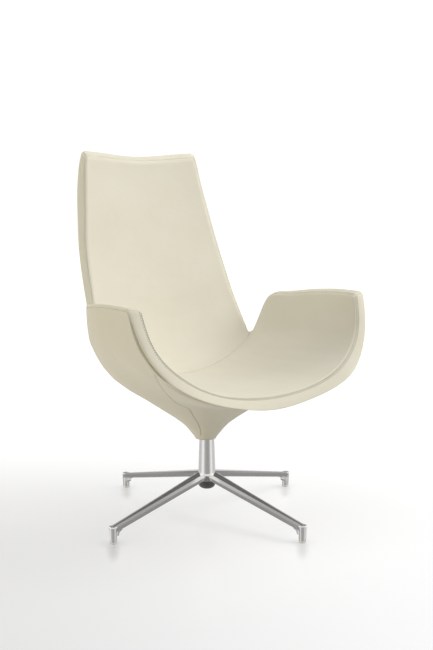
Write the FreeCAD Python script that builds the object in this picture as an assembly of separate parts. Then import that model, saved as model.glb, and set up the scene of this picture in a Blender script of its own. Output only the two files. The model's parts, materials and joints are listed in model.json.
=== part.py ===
"""High-back swivel office chair: upholstered shell with arms on a four-star base.

Frame: millimetres, +Z up, origin on the swivel axis at the floor, the seat faces -Y.
The shell is one curved surface family.  INNER is the face towards the sitter and
OUTER is the back face, both as half nets (x >= 0) of points that run from the front
rim, over the seat, up the back to the top edge.  Every padded layer is a slice of
the space between the two.
"""
import FreeCAD, Part
import os
from math import sqrt, sin, cos, pi, radians, dist, exp, log

V = FreeCAD.Vector
os.makedirs("parts", exist_ok=True)

# ------------------------------------------------------------------ driving dimensions (mm)
SEAT_FRONT_Z = 400.0      # height of the front rim's inner edge
SHELL_T = 38.0            # padded shell thickness away from its rims
PAD_IN = 0.40             # inner pad takes this share of the thickness
CORE_LO, CORE_HI = 0.43, 0.62   # moulded shell's share
PAD_OUT = 0.65            # outer pad starts here
BASE_R = 355.0            # swivel axis to foot centre
LEG_ANGLE = 12.69         # first leg's direction at rest, degrees from +X
LEG_Z_HUB, LEG_Z_FOOT = 128.5, 47.6   # leg's top face
FOOT_R_TOP, FOOT_R_BOT = 12.2, 10.4
GLIDE_H = 7.0
GLIDE_R = 10.0
COL_Z0, COL_Z1 = 117.0, 300.0    # column
COL_R0, COL_R_NECK, NECK_Z = 24.8, 21.5, 225.0
COL_BORE = 16.5
SPINDLE_R = 12.5
RUN = 0.05                # radial running clearance of the spindle in its bushes
NECK_Y = 6.0              # funnel mouth's centre stands this far behind the axis
NECK_R = 31.0
NECK_BORE = 28.4
PLATE_X, PLATE_Y, PLATE_T, PLATE_Z = 170.0, 140.0, 4.0, 357.0   # seat plate, underside height
BOLT_X, BOLT_Y = 130.0, 105.0    # seat plate bolt spacing
HOLE_R = 124.0            # opening in the outer seat pad that the funnel fills


# ------------------------------------------------------------------ shell nets
def lerp(a, b, t):
    return tuple(x + (y - x) * t for x, y in zip(a, b))


def resample(pts, n):
    d = [0]
    for a, b in zip(pts, pts[1:]):
        d.append(d[-1] + dist(a, b))
    out = []
    for k in range(n):
        s = d[-1] * k / (n - 1)
        i = 0
        while i < len(pts) - 2 and d[i + 1] < s:
            i += 1
        t = (s - d[i]) / (d[i + 1] - d[i])
        out.append(lerp(pts[i], pts[i + 1], min(max(t, 0), 1)))
    return out


NJ = 9
FRONT_IN = [(0, -303, 400), (40, -303, 401), (76, -303, 404), (127, -303, 412), (174, -302, 426),
            (220, -300, 447), (256, -294, 470), (286, -284, 497), (310, -272, 528), (326, -259, 563),
            (335, -248, 598), (339, -237, 634)]
FRONT_OUT = [(0, -335, 368), (57, -335, 372), (120, -337, 384), (175, -337, 398), (224, -335, 415),
             (266, -325, 435), (301, -309, 458), (329, -294, 489), (349, -279, 524), (364, -264, 563),
             (374, -249, 602), (378, -232, 642)]
fi = resample(FRONT_IN, NJ)
fo = resample(FRONT_OUT, NJ)
UX = [p[0] / 339.0 for p in fi]
UZ = [(p[2] - 400.0) / 234.0 for p in fi]
S = [j / (NJ - 1.0) for j in range(NJ)]


def parabola(X, h):
    pts = [(X * k / 40.0, 0, h * (k / 40.0) ** 2) for k in range(41)]
    r = resample(pts, NJ)
    return [p[0] / X for p in r], [p[2] / h for p in r]


PX, PZ = parabola(265.0, 96.0)
# each row of the seat: centre point, end point at the arm's inner edge, share of the shallow section
SEAT = [((0, -200, 394), (341, -130, 632), 0.0),
        ((0, -105, 388), (331, -28, 622), 0.0),
        ((0, -35, 386), (314, 45, 612), 0.0),
        ((0, 25, 387), (290, 98, 600), 0.10),
        ((0, 75, 391), (274, 132, 535), 0.55)]
CREASE = ((0, 118, 398), (256, 148, 487), 1.0)
BACK = [((0, 162, 424), (252.5, 168, 507)),
        ((0, 205, 474), (248.5, 188, 541)),
        ((0, 243, 540), (242.5, 213, 585)),
        ((0, 272, 612), (235.5, 234.5, 628)),
        ((0, 301, 692), (230.0, 265, 694)),
        ((0, 327, 775), (222.0, 297, 773)),
        ((0, 349, 858), (210.5, 320.5, 851)),
        ((0, 367, 940), (199.0, 342, 935)),
        ((0, 378, 1010), (189, 361, 1016))]
OUTER_END = [(378, -232, 642), (378.5, -130, 640), (368, -22, 630), (345, 58, 617), (319.5, 116, 604),
             (300, 150, 542), (276, 174, 492), (268, 189, 508), (264, 205, 538), (260, 224, 575),
             (257, 248.5, 618), (252.5, 281, 686), (244.0, 316, 767), (232.5, 344, 857),
             (220.5, 367, 938), (201, 380, 1036)]
NS = len(SEAT) + 1        # row index of the crease


def row_seat(C, E, w):
    out = []
    for j in range(NJ):
        fx = UX[j] * (1 - w) + PX[j] * w
        fz = UZ[j] * (1 - w) + PZ[j] * w
        out.append((E[0] * fx, C[1] + (E[1] - C[1]) * S[j] ** 2, C[2] + (E[2] - C[2]) * fz))
    return out


def row_back(C, E):
    return [(E[0] * s, C[1] + (E[1] - C[1]) * s ** 2, C[2] + (E[2] - C[2]) * s ** 2) for s in S]


def sub(a, b):
    return tuple(x - y for x, y in zip(a, b))


def add(a, b, k=1.0):
    return tuple(x + k * y for x, y in zip(a, b))


def cross(a, b):
    return (a[1] * b[2] - a[2] * b[1], a[2] * b[0] - a[0] * b[2], a[0] * b[1] - a[1] * b[0])


def unit(a):
    n = sqrt(sum(x * x for x in a)) or 1
    return tuple(x / n for x in a)


def full(net):
    return [[(-x, y, z) for x, y, z in r[:0:-1]] + list(r) for r in net]


# the underside flows into a round funnel: radius and height of its outer face
FUNNEL = [(0, 160), (28, 215), (31, 225), (37, 232.6), (43, 240.5), (49.5, 249.5), (56.5, 258), (66, 267.5),
          (77, 276.5), (95, 290), (111, 301), (145, 324), (179, 345), (231, 375), (270, 405), (300, 440),
          (320, 478), (335, 520), (350, 580), (362, 660), (370, 800), (375, 1200)]


def funnel_z(r):
    for a, b in zip(FUNNEL, FUNNEL[1:]):
        if r <= b[0]:
            return a[1] + (b[1] - a[1]) * (r - a[0]) / float(b[0] - a[0])
    return 2000.0


def bowl(x, y):
    """Height of the funnel and bowl above the floor; it tightens towards the back and the sides."""
    y -= NECK_Y
    r = sqrt(x * x + y * y) or 1e-9
    k = min(max((r - 120.0) / 100.0, 0), 1)
    k = k * k * (3 - 2 * k)
    return funnel_z(r * (1 + k * (0.05 * abs(x / r) ** 6 + 0.13 * max(y / r, 0) ** 6)))


def thickness(p, n, blend=12.0):
    """Shell thickness under p: the plain shell, or down to the bowl where that is lower."""
    d, step = 0.0, 2.0
    last = p[2] - bowl(p[0], p[1])
    if last <= 0:
        return SHELL_T
    while d < 200:
        d += step
        q = add(p, n, -d)
        f = q[2] - bowl(q[0], q[1])
        if f <= 0:
            d -= step * (-f) / (last - f)
            break
        last = f
    h = (d - SHELL_T) / blend
    return SHELL_T + (blend * log(1 + exp(h)) if h < 40 else d - SHELL_T)


INNER = [fi] + [row_seat(*a) for a in SEAT] + [row_seat(*CREASE)] + [row_back(*a) for a in BACK]
IN_F = full(INNER)


def outer(with_bowl):
    net = []
    for i, r in enumerate(INNER):
        o = []
        for j, p in enumerate(r):
            J = NJ - 1 + j
            du = sub(IN_F[i][min(J + 1, 2 * NJ - 2)], IN_F[i][J - 1])
            dv = sub(IN_F[min(i + 1, len(IN_F) - 1)][J], IN_F[max(i - 1, 0)][J])
            n = unit(cross(du, dv))
            q = add(p, n, -(thickness(p, n) if with_bowl and 0 < i < 13 else SHELL_T))
            o.append((0,) + q[1:] if j == 0 else q)
        o[-1] = OUTER_END[i]
        net.append(o)
    net[0] = fo
    net[-1] = [add(p, (0, 14 + 8 * (1 - s), 20)) for p, s in zip(INNER[-1], S)]
    net[-1] = [(x * (1 + 0.06 * s), y, z) for (x, y, z), s in zip(net[-1], S)]
    net[-1][-1] = OUTER_END[-1]
    return full(net)


OUT_F, BOWL_F = outer(False), outer(True)


def layer(f):
    return [[lerp(a, b, f) for a, b in zip(ra, rb)] for ra, rb in zip(IN_F, OUT_F)]


def knots(n):
    spans = n - 3
    return [i / float(spans) for i in range(spans + 1)], [4] + [1] * (spans - 1) + [4]


def greville(n):
    k, m = knots(n)
    flat = []
    for a, b in zip(k, m):
        flat += [a] * b
    return [sum(flat[i + 1:i + 4]) / 3.0 for i in range(n)]


def surface(poles):
    m, n = len(poles), len(poles[0])
    ku, mu = knots(m)
    kv, mv = knots(n)
    s = Part.BSplineSurface()
    s.buildFromPolesMultsKnots([[V(*p) for p in r] for r in poles], mu, mv, ku, kv, False, False, 3, 3)
    return s


def fit(net, rounds=4):
    """Poles of the bicubic surface that passes through the net."""
    poles = [[tuple(p) for p in r] for r in net]
    gu, gv = greville(len(net)), greville(len(net[0]))
    for _ in range(rounds):
        s = surface(poles)
        for i, u in enumerate(gu):
            for j, v in enumerate(gv):
                q = s.value(u, v)
                poles[i][j] = add(poles[i][j], sub(net[i][j], (q.x, q.y, q.z)))
    return poles


def patch(net, u0, u1, v0, v1):
    """The surface through the whole net, cut down to part of its range."""
    s = surface(fit(net))
    s.segment(u0, u1, v0, v1)
    return s


def strip(c1, c2, k, m):
    """Ruled face between two boundary pole rows."""
    s = Part.BSplineSurface()
    s.buildFromPolesMultsKnots([list(c1), list(c2)], [2, 2], m, [0, 1], k, False, False, 1, 3)
    return s


def slab(net_a, net_b, u0=0.0, u1=1.0, v0=0.0, v1=1.0):
    """Closed solid between two sheets of the shell family."""
    sa, sb = patch(net_a, u0, u1, v0, v1), patch(net_b, u0, u1, v0, v1)
    A, B = sa.getPoles(), sb.getPoles()
    ku, mu = sa.getUKnots(), [int(m) for m in sa.getUMultiplicities()]
    kv, mv = sa.getVKnots(), [int(m) for m in sa.getVMultiplicities()]
    faces = [sa.toShape(), sb.toShape(),
             strip(A[0], B[0], kv, mv).toShape(), strip(A[-1], B[-1], kv, mv).toShape(),
             strip([r[0] for r in A], [r[0] for r in B], ku, mu).toShape(),
             strip([r[-1] for r in A], [r[-1] for r in B], ku, mu).toShape()]
    sh = Part.makeShell(faces)
    sh.sewShape()
    sh = sh.Shells[0] if sh.Shells else Part.Shell(sh.Faces)
    so = Part.Solid(sh)
    if so.Volume < 0:
        so.reverse()
    return so


def cyl(r, z0, z1, x=0.0, y=0.0):
    return Part.makeCylinder(r, z1 - z0, V(x, y, z0), V(0, 0, 1))


def ring(r_out, r_in, z0, z1, x=0.0, y=0.0):
    return cyl(r_out, z0, z1, x, y).cut(cyl(r_in, z0 - 1, z1 + 1, x, y))


def revolve(profile, x=0.0, y=0.0):
    pts = [V(r + 0.0, 0, z) for r, z in profile]
    w = Part.makePolygon(pts + [pts[0]])
    s = Part.Face(w).revolve(V(0, 0, 0), V(0, 0, 1), 360)
    s.translate(V(x, y, 0))
    return s


def biggest(shape):
    return max(shape.Solids, key=lambda s: s.Volume)


out = {}

# ------------------------------------------------------------------ base
def leg():
    def section(x, a, b, zt, d, zb):
        pts = [(-a, zt), (a, zt), (b, zt - d), (b - 1.2, zb + 2), (b - 3.2, zb), (-b + 3.2, zb),
               (-b + 1.2, zb + 2), (-b, zt - d)]
        p = [V(x, y, z) for y, z in pts]
        return Part.makePolygon(p + [p[0]])
    L = BASE_R
    solid = Part.makeLoft([section(0, 12.5, 23.5, LEG_Z_HUB, 5.0, 112.0),
                           section(L, 3.0, 12.0, LEG_Z_FOOT, 2.5, 32.0)], True, True)
    cut = Part.makeBox(60, 80, 200, V(L, -40, -50)).cut(Part.makeCylinder(12.2, 300, V(L, 0, -60)))
    solid = solid.cut(cut)
    foot = Part.makeCone(FOOT_R_BOT, FOOT_R_TOP, LEG_Z_FOOT - 1.6 - GLIDE_H, V(L, 0, GLIDE_H))
    cap = Part.makeCone(FOOT_R_TOP, FOOT_R_TOP - 1.6, 1.6, V(L, 0, LEG_Z_FOOT - 1.6))
    # rounded corner between the leg's underside and the foot
    g = Part.makeBox(22, 18, 20, V(L - 26, -9, 17)).cut(
        Part.makeCylinder(12, 40, V(L - 24, -20, 22), V(0, 1, 0)))
    g = g.common(Part.makeBox(40, 30, 17, V(L - 24, -15, 22)))
    return solid.fuse(foot.fuse(cap)).fuse(g)


legs = []
for k in range(4):
    s = leg()
    s.rotate(V(0, 0, 0), V(0, 0, 1), LEG_ANGLE + 90 * k)
    legs.append(s)
base = legs[0].multiFuse(legs[1:])
# blend between neighbouring legs: a square with concave corners, stood at 45 degrees to them
hub = Part.makeCone(43, 36, 13.5, V(0, 0, 105.0))
hub.rotate(V(0, 0, 0), V(0, 0, 1), LEG_ANGLE)
for k in range(4):
    a = radians(LEG_ANGLE + 45 + 90 * k)
    hub = hub.cut(Part.makeCylinder(22, 60, V(66.5 * cos(a), 66.5 * sin(a), 80)))
base = base.fuse(hub).fuse(cyl(25.5, 104.0, 117.0)).fuse(cyl(21.5, 92.0, 104.0))
base = base.cut(cyl(18.0, 70, 108.0)).cut(cyl(6.6, 80, 130))
base = base.cut(cyl(COL_R0 + 0.1, COL_Z0, 140))      # socket for the column's foot
base = base.removeSplitter()
STEM_R, STEM_H = 4.0, 16.0
for k in range(4):
    a = radians(LEG_ANGLE + 90 * k)
    base = base.cut(cyl(STEM_R + 0.02, 0, GLIDE_H + STEM_H + 1, BASE_R * cos(a), BASE_R * sin(a)))
out["base_casting"] = base

feet = [(BASE_R * cos(radians(LEG_ANGLE + 90 * k)), BASE_R * sin(radians(LEG_ANGLE + 90 * k))) for k in range(4)]
names = ["back_right", "back_left", "front_left", "front_right"]
for (x, y), n in zip(feet, names):
    pad = cyl(GLIDE_R, 1.4, GLIDE_H - 0.1, x, y).fuse(
        Part.makeCone(GLIDE_R - 1.4, GLIDE_R, 1.4, V(x, y, 0)))
    pad = pad.fuse(cyl(STEM_R, GLIDE_H - 0.1, GLIDE_H + STEM_H, x, y)).removeSplitter()
    out["glide_" + n] = pad

# ------------------------------------------------------------------ column, fixed to the base from below
def col_r(z):
    return COL_R0 + (COL_R_NECK - COL_R0) * (z - COL_Z0) / (NECK_Z - COL_Z0)


col = Part.makeCone(COL_R0, col_r(COL_Z1), COL_Z1 - COL_Z0, V(0, 0, COL_Z0 + 0.02)).cut(
    cyl(COL_BORE, COL_Z0 - 1, COL_Z1 + 5))
out["column_tube"] = col
plug = cyl(COL_BORE - 0.02, COL_Z0 + 0.02, 141).cut(cyl(5.0, 100, 138))
out["column_plug"] = plug
out["clamp_washer"] = ring(15.0, 5.3, 105.0, 107.98)
out["clamp_bolt"] = cyl(4.98, 105.0 - 0.02, 134).fuse(
    cyl(8.0, 96.5, 104.98)).cut(Part.makeBox(7, 7, 6, V(-3.5, -3.5, 94.5)))
out["hub_cap"] = revolve([(0, 75), (9, 75.2), (15, 76.2), (20, 79.0), (23.4, 83.2), (25.1, 89), (25.5, 95), (25.5, 103.98),
                          (21.6, 103.98), (21.6, 91.98), (17.8, 91.98), (17.8, 97), (15.3, 97), (15.3, 85.5), (0, 85.5)])

# ------------------------------------------------------------------ swivel bearings in the column
out["lower_bush"] = ring(COL_BORE - 0.02, SPINDLE_R + RUN, 157, 182)
ub = ring(COL_BORE - 0.02, SPINDLE_R + RUN, 272, 300.02).fuse(ring(19.6, SPINDLE_R + RUN, 300.02, 301.6))
out["upper_bush"] = ub.removeSplitter()
out["thrust_race_lower"] = ring(20.0, 13.6, 301.62, 303.6)
R_BALL, PCR, NB = 2.0, 16.6, 18
balls = [Part.makeSphere(R_BALL, V(PCR * cos(2 * pi * k / NB), PCR * sin(2 * pi * k / NB), 305.62)) for k in range(NB)]
out["bearing_balls"] = Part.makeCompound(balls)
cage = ring(19.4, 13.9, 304.9, 306.3)
for k in range(NB):
    a = 2 * pi * k / NB
    cage = cage.cut(cyl(R_BALL + 0.12, 300, 312, PCR * cos(a), PCR * sin(a)))
out["ball_cage"] = cage
out["thrust_race_upper"] = ring(20.0, 12.52, 307.95, 310.0)

# ------------------------------------------------------------------ spindle and seat plate
sp = cyl(SPINDLE_R, 156, 356.9).cut(cyl(4.02, 150, 180))
out["spindle"] = sp
out["retaining_washer"] = ring(15.2, 4.2, 153.5, 155.98)
out["retaining_screw"] = cyl(4.0, 153.48, 176).fuse(cyl(6.5, 147.0, 153.48)).cut(
    Part.makeBox(5, 5, 4, V(-2.5, -2.5, 146)))
boss = Part.makeCone(21.0, 26.0, PLATE_Z - 310.02, V(0, 0, 310.02)).cut(cyl(SPINDLE_R + 0.02, 300, 370))
out["spindle_boss"] = boss


def rounded_box(lx, ly, z0, z1, r):
    b = Part.makeBox(lx, ly, z1 - z0, V(-lx / 2, -ly / 2, z0))
    return b.makeFillet(r, [e for e in b.Edges if abs(e.Vertexes[0].Z - e.Vertexes[1].Z) > 1])


plate = rounded_box(PLATE_X, PLATE_Y, PLATE_Z + 0.02, PLATE_Z + PLATE_T, 22)
bolts = [(sx * BOLT_X / 2, sy * BOLT_Y / 2) for sx in (-1, 1) for sy in (-1, 1)]
for x, y in bolts:
    plate = plate.cut(cyl(4.4, 340, 380, x, y))
out["seat_plate"] = plate

# ------------------------------------------------------------------ moulded shell and its pads
U_CREASE = greville(len(IN_F))[NS]
GAP_U = 0.0006
core = slab(layer(CORE_LO), layer(CORE_HI), 0.010, 0.988, 0.022, 0.978)
spacers, inserts, screws = [], [], []
for x, y in bolts:
    lump = cyl(5.5, 350, 395, x, y).common(core)
    inserts.append(biggest(lump).cut(cyl(4.0, 340, 400, x, y)))
    sp_ = cyl(11.0, PLATE_Z + PLATE_T + 0.02, 366.5, x, y).cut(cyl(4.4, 340, 400, x, y)).cut(core)
    spacers.append(min(sp_.Solids, key=lambda s: s.BoundBox.ZMin))
    screws.append(cyl(3.95, PLATE_Z - 0.02, 366.5, x, y).fuse(cyl(6.5, PLATE_Z - 7.0, PLATE_Z - 0.02, x, y)).cut(
        cyl(3.0, PLATE_Z - 8.0, PLATE_Z - 3.5, x, y)))
for x, y in bolts:
    core = core.cut(cyl(5.52, 340, 395, x, y))
out["shell_core"] = biggest(core)
out["threaded_inserts"] = Part.makeCompound(inserts)
out["plate_spacers"] = Part.makeCompound(spacers)
out["plate_screws"] = Part.makeCompound(screws)

out["seat_pad"] = slab(layer(0.0), layer(PAD_IN), 0.0, U_CREASE - GAP_U)
out["back_pad"] = slab(layer(0.0), layer(PAD_IN), U_CREASE + GAP_U, 1.0)
outer_seat = slab(layer(PAD_OUT), BOWL_F, 0.0, U_CREASE - GAP_U)
outer_back = slab(layer(PAD_OUT), BOWL_F, U_CREASE + GAP_U, 1.0)
out["outer_pad_seat"] = biggest(outer_seat.cut(cyl(HOLE_R, 250, 450, 0, NECK_Y)))
out["outer_pad_back"] = outer_back

# ------------------------------------------------------------------ funnel under the seat plate
FR = HOLE_R - 0.6
wall = [p for p in FUNNEL if 56 < p[0] < FR]
profile = [p for p in FUNNEL if 30 < p[0] < FR] + [(FR, funnel_z(FR)), (FR, PLATE_Z), (98, PLATE_Z), (98, PLATE_Z - 4),
          (FR - 6, PLATE_Z - 4), (FR - 6, funnel_z(FR - 6) + 6.5)]
profile += [(r - 2.5, z + 6.0) for r, z in wall[::-1]] + [(NECK_BORE + 5.0, 240.0), (NECK_BORE, 232.0), (NECK_BORE, 225.0)]
out["funnel_cover"] = revolve(profile, 0, NECK_Y)
out["neck_ring"] = ring(NECK_R - 0.6, NECK_BORE - 0.1, 222.6, 224.95, 0, NECK_Y)

for name, shape in out.items():
    bad = [s for s in shape.Solids if not s.isValid() or s.Volume <= 0]
    print("%-18s solids %d  vol %.0f  %s" % (name, len(shape.Solids), shape.Volume, "BAD" if bad or not shape.Solids else "ok"))
    if len(shape.Solids) == 1:
        shape = shape.Solids[0]
    shape.exportStep("parts/%s.step" % name)
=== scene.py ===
"""Looks of the swivel chair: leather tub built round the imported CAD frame, in metres, in the row frame."""
import json
import math

import bpy
import numpy as np
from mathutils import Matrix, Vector
from mathutils.bvhtree import BVHTree

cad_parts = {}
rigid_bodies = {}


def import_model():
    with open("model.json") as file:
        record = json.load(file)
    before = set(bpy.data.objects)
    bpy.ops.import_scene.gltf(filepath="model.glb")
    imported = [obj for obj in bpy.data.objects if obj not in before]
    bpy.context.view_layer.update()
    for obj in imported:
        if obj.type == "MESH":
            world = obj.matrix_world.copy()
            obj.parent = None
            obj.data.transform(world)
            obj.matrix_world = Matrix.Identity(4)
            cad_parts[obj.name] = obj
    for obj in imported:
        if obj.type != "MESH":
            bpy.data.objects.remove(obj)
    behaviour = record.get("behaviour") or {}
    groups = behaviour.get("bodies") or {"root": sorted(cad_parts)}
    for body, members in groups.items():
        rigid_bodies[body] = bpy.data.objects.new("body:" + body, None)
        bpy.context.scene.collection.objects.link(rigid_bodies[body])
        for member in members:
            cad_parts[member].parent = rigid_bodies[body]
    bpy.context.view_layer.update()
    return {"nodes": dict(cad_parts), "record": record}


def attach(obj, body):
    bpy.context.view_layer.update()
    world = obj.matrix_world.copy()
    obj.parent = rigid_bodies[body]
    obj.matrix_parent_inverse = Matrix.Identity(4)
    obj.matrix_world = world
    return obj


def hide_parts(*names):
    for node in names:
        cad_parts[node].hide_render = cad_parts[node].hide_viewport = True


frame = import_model()

# ---------------------------------------------------------------- light: place, aim, size and watts, in the photographer's frame
WORLD = .15
LIGHTS = [("soft_right", (3.0, -.6, 2.0), (0, 0, .6), (1.8, 1.8), 34.5),
          ("soft_front_right", (1.8, -2.8, 1.6), (0, 0, .6), (2.0, 1.8), 9),
          ("soft_front_left", (-1.8, -2.6, 2.2), (0, 0, .6), (2.0, 1.8), 11),
          ("soft_top", (0, 0, 3.2), (0, 0, .5), (2.2, 2.2), 31),
          ("soft_left_low", (-2.8, -.8, .5), (0, 0, .45), (1.6, .9), 27, (1, .95, .78)),
          ("soft_top_right", (2.2, .2, 2.8), (0, 0, .5), (2.0, 2.0), 40)]
# ---------------------------------------------------------------- room seen in metal: just below the horizon and further down, by turn from the camera's side (degrees); above it by height, behind and in front
ROOM_NEAR = [(-180, .7), (-150, .68), (-114, .62), (-88, .62), (-74, .95), (-56, 1.05), (-44, .95), (-34, .64), (-22, .45), (-8, .37),
             (8, .36), (30, .38), (42, .58), (54, .95), (68, 1.0), (82, .84), (95, .60), (121, .68), (150, .7), (180, .7)]
ROOM_DEEP = [(-180, .6), (-150, .8), (-124, 1.05), (-115, .85), (-107, .30), (-84, .28), (-79, .95), (-64, .95), (-46, .55), (-18, .42),
             (8, .38), (30, .46), (48, .66), (66, .85), (80, .62), (85, .28), (106, .30), (114, .75), (128, 1.05), (150, .8), (180, .6)]
ROOM_BACK = [(-1, .7), (-.03, .72), (.05, .66), (.20, .42), (.34, .36), (.46, .12), (.62, .10), (.67, 1.3), (.75, 1.3), (.80, .46), (.90, .42), (.95, 1.2), (1, 1.2)]
ROOM_FRONT = [(-1, .6), (0, .40), (.12, .22), (.30, .14), (.62, .16), (.80, .5), (.90, 1.2), (1, 1.2)]
# ---------------------------------------------------------------- the tub's driving tables (metres)
FRONT_IN = [(0, -.303, .400), (.040, -.303, .401), (.076, -.303, .404), (.127, -.303, .412), (.174, -.302, .426),
            (.220, -.300, .447), (.256, -.294, .470), (.286, -.284, .497), (.310, -.272, .528), (.326, -.259, .563),
            (.335, -.248, .598), (.339, -.237, .634)]
FRONT_OUT = [(0, -.335, .368), (.057, -.335, .372), (.120, -.337, .384), (.175, -.337, .398), (.224, -.335, .415),
             (.266, -.325, .435), (.301, -.309, .458), (.329, -.294, .489), (.349, -.279, .524), (.364, -.264, .563),
             (.374, -.249, .602), (.378, -.232, .642)]
SEAT = [((0, -.200, .394), (.341, -.130, .632), 0), ((0, -.105, .388), (.331, -.028, .622), 0),
        ((0, -.035, .386), (.314, .045, .612), 0), ((0, .025, .387), (.290, .098, .600), .10),
        ((0, .075, .391), (.274, .132, .535), .55)]
CREASE = ((0, .118, .398), (.256, .148, .487))
BACK = [((0, .162, .424), (.2525, .168, .507)), ((0, .205, .474), (.2485, .188, .541)),
        ((0, .243, .540), (.2425, .213, .585)), ((0, .272, .612), (.2355, .2345, .628)),
        ((0, .301, .692), (.2300, .265, .694)), ((0, .327, .775), (.2220, .297, .773)),
        ((0, .349, .858), (.2105, .3205, .851)), ((0, .367, .940), (.1990, .342, .935)),
        ((0, .378, 1.010), (.189, .361, 1.016))]
OUTER_END = [(.378, -.232, .642), (.3785, -.130, .640), (.368, -.022, .630), (.345, .058, .617), (.3195, .116, .604),
             (.300, .150, .542), (.276, .174, .492), (.268, .189, .508), (.264, .205, .538), (.260, .224, .575),
             (.257, .2485, .618), (.2525, .281, .686), (.2440, .316, .767), (.2325, .344, .857), (.2205, .367, .938),
             (.201, .380, 1.036)]
FUNNEL = [(.0, .16), (.028, .215), (.031, .225), (.037, .2326), (.043, .2405), (.0495, .2495), (.0565, .258),
          (.066, .2675), (.077, .2765), (.095, .290), (.111, .301), (.145, .324), (.179, .345), (.231, .375),
          (.27, .405), (.30, .440), (.32, .478), (.335, .520), (.350, .58), (.362, .66), (.37, .8), (.375, 1.2)]
NECK_R = .031
NECK_Y = .006
SHELL_T = .038
NJ = 9
NR = 16
SEAM_U = 6.0            # the row where the seat panel meets the back panel
SEAM_A = .0075          # how far over the facing the panels' edge seam lies
EDGE_R = .005


def resample(pts, n):
    p = np.array(pts, float)
    d = np.r_[0, np.cumsum(np.linalg.norm(np.diff(p, axis=0), axis=1))]
    t = np.linspace(0, d[-1], n)
    return np.stack([np.interp(t, d, p[:, k]) for k in range(3)], 1)


def half_net():
    fi = resample(FRONT_IN, NJ)
    ux, uz = fi[:, 0] / .339, (fi[:, 2] - .400) / .234
    s = np.arange(NJ) / (NJ - 1)
    k = np.arange(41) / 40
    par = resample(np.stack([.265 * k, 0 * k, .096 * k ** 2], 1), NJ)
    px, pz = par[:, 0] / .265, par[:, 2] / .096
    rows = [fi]
    for c, e, w in SEAT + [CREASE + (1,)]:
        c, e = np.array(c), np.array(e)
        rows.append(np.stack([e[0] * (ux * (1 - w) + px * w), c[1] + (e[1] - c[1]) * s ** 2,
                              c[2] + (e[2] - c[2]) * (uz * (1 - w) + pz * w)], 1))
    for c, e in BACK:
        c, e = np.array(c), np.array(e)
        rows.append(np.stack([e[0] * s, c[1] + (e[1] - c[1]) * s ** 2, c[2] + (e[2] - c[2]) * s ** 2], 1))
    return np.array(rows)


def mirror(rows):
    left = rows[:, :0:-1] * np.array([-1, 1, 1])
    return np.concatenate([left, rows], 1)


def bspline(n, t):
    """Matrix that reads a not-a-knot cubic through n equally spaced values at the places t."""
    t = np.atleast_1d(np.asarray(t, float))
    a, r = np.zeros((n, n)), np.zeros((n, n))
    for i in range(1, n - 1):
        a[i, i - 1:i + 2] = 1, 4, 1
        r[i, i - 1:i + 2] = 6, -12, 6
    a[0, :3] = a[-1, -3:] = 1, -2, 1
    m = np.linalg.solve(a, r)
    i = np.clip(np.floor(t).astype(int), 0, n - 2)
    f = t - i
    b = np.zeros((len(t), n))
    k = np.arange(len(t))
    b[k, i] += 1 - f
    b[k, i + 1] += f
    return b + (((1 - f) ** 3 - (1 - f)) / 6)[:, None] * m[i] + ((f ** 3 - f) / 6)[:, None] * m[i + 1]


HALF = half_net()
NET = mirror(HALF)
unit = lambda v: v / np.maximum(np.linalg.norm(v, axis=-1, keepdims=True), 1e-12)
smooth = lambda x: (lambda c: c * c * (3 - 2 * c))(np.clip(x, 0, 1))


def inner(u, v):
    """Points of the tub's inside sheet at row u (0 front .. 15 top) and column v (0 left .. 16 right)."""
    u, v = np.broadcast_arrays(np.asarray(u, float), np.asarray(v, float))
    shape = u.shape
    rows = (bspline(NR, u.ravel()) @ NET.reshape(NR, -1)).reshape(-1, 17, 3)
    return (rows * bspline(17, v.ravel())[:, :, None]).sum(1).reshape(shape + (3,))


def inner_normal(u, v, h=1e-3):
    du = inner(u + h, v) - inner(u - h, v)
    dv = inner(u, v + h) - inner(u, v - h)
    return unit(np.cross(dv, du))


def cubic_table(x, y, at):
    """Natural cubic through uneven (x, y), read at `at`."""
    x, y = np.asarray(x, float), np.asarray(y, float)
    n, h = len(x), np.diff(x)
    a, r = np.eye(n), np.zeros(n)
    for i in range(1, n - 1):
        a[i, i - 1:i + 2] = h[i - 1], 2 * (h[i - 1] + h[i]), h[i]
        r[i] = 6 * ((y[i + 1] - y[i]) / h[i] - (y[i] - y[i - 1]) / h[i - 1])
    m = np.linalg.solve(a, r)
    i = np.clip(np.searchsorted(x, at) - 1, 0, n - 2)
    t, hi = at - x[i], h[i]
    return (m[i] * (hi - t) ** 3 + m[i + 1] * t ** 3) / (6 * hi) + (y[i] / hi - m[i] * hi / 6) * (hi - t) \
        + (y[i + 1] / hi - m[i + 1] * hi / 6) * t


RB = np.linspace(0, .375, 1501)
ZB = np.interp(RB, [p[0] for p in FUNNEL], [p[1] for p in FUNNEL])
for _ in range(3):      # rounds the table's corners, more loosely away from the neck
    wide = np.convolve(np.pad(ZB, 24, mode="edge"), np.hanning(49) / np.hanning(49).sum(), "valid")
    near = np.convolve(np.pad(ZB, 6, mode="edge"), np.hanning(13) / np.hanning(13).sum(), "valid")
    k = smooth((RB - .045) / .05) * (1 - smooth((RB - .33) / .03))
    ZB = near * (1 - k) + wide * k
ZB += (np.interp(NECK_R, [p[0] for p in FUNNEL], [p[1] for p in FUNNEL]) - np.interp(NECK_R, RB, ZB)) * (1 - smooth((RB - .03) / .03))


def bowl(x, y):
    y = y - NECK_Y
    r = np.sqrt(x * x + y * y) + 1e-9
    c, s = np.abs(x / r), y / r
    k = smooth((r - .12) / .1)
    r = r * (1 + k * (.05 * c ** 6 + .13 * np.maximum(s, 0) ** 6))
    return np.interp(r, RB, ZB, right=2.)


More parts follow.
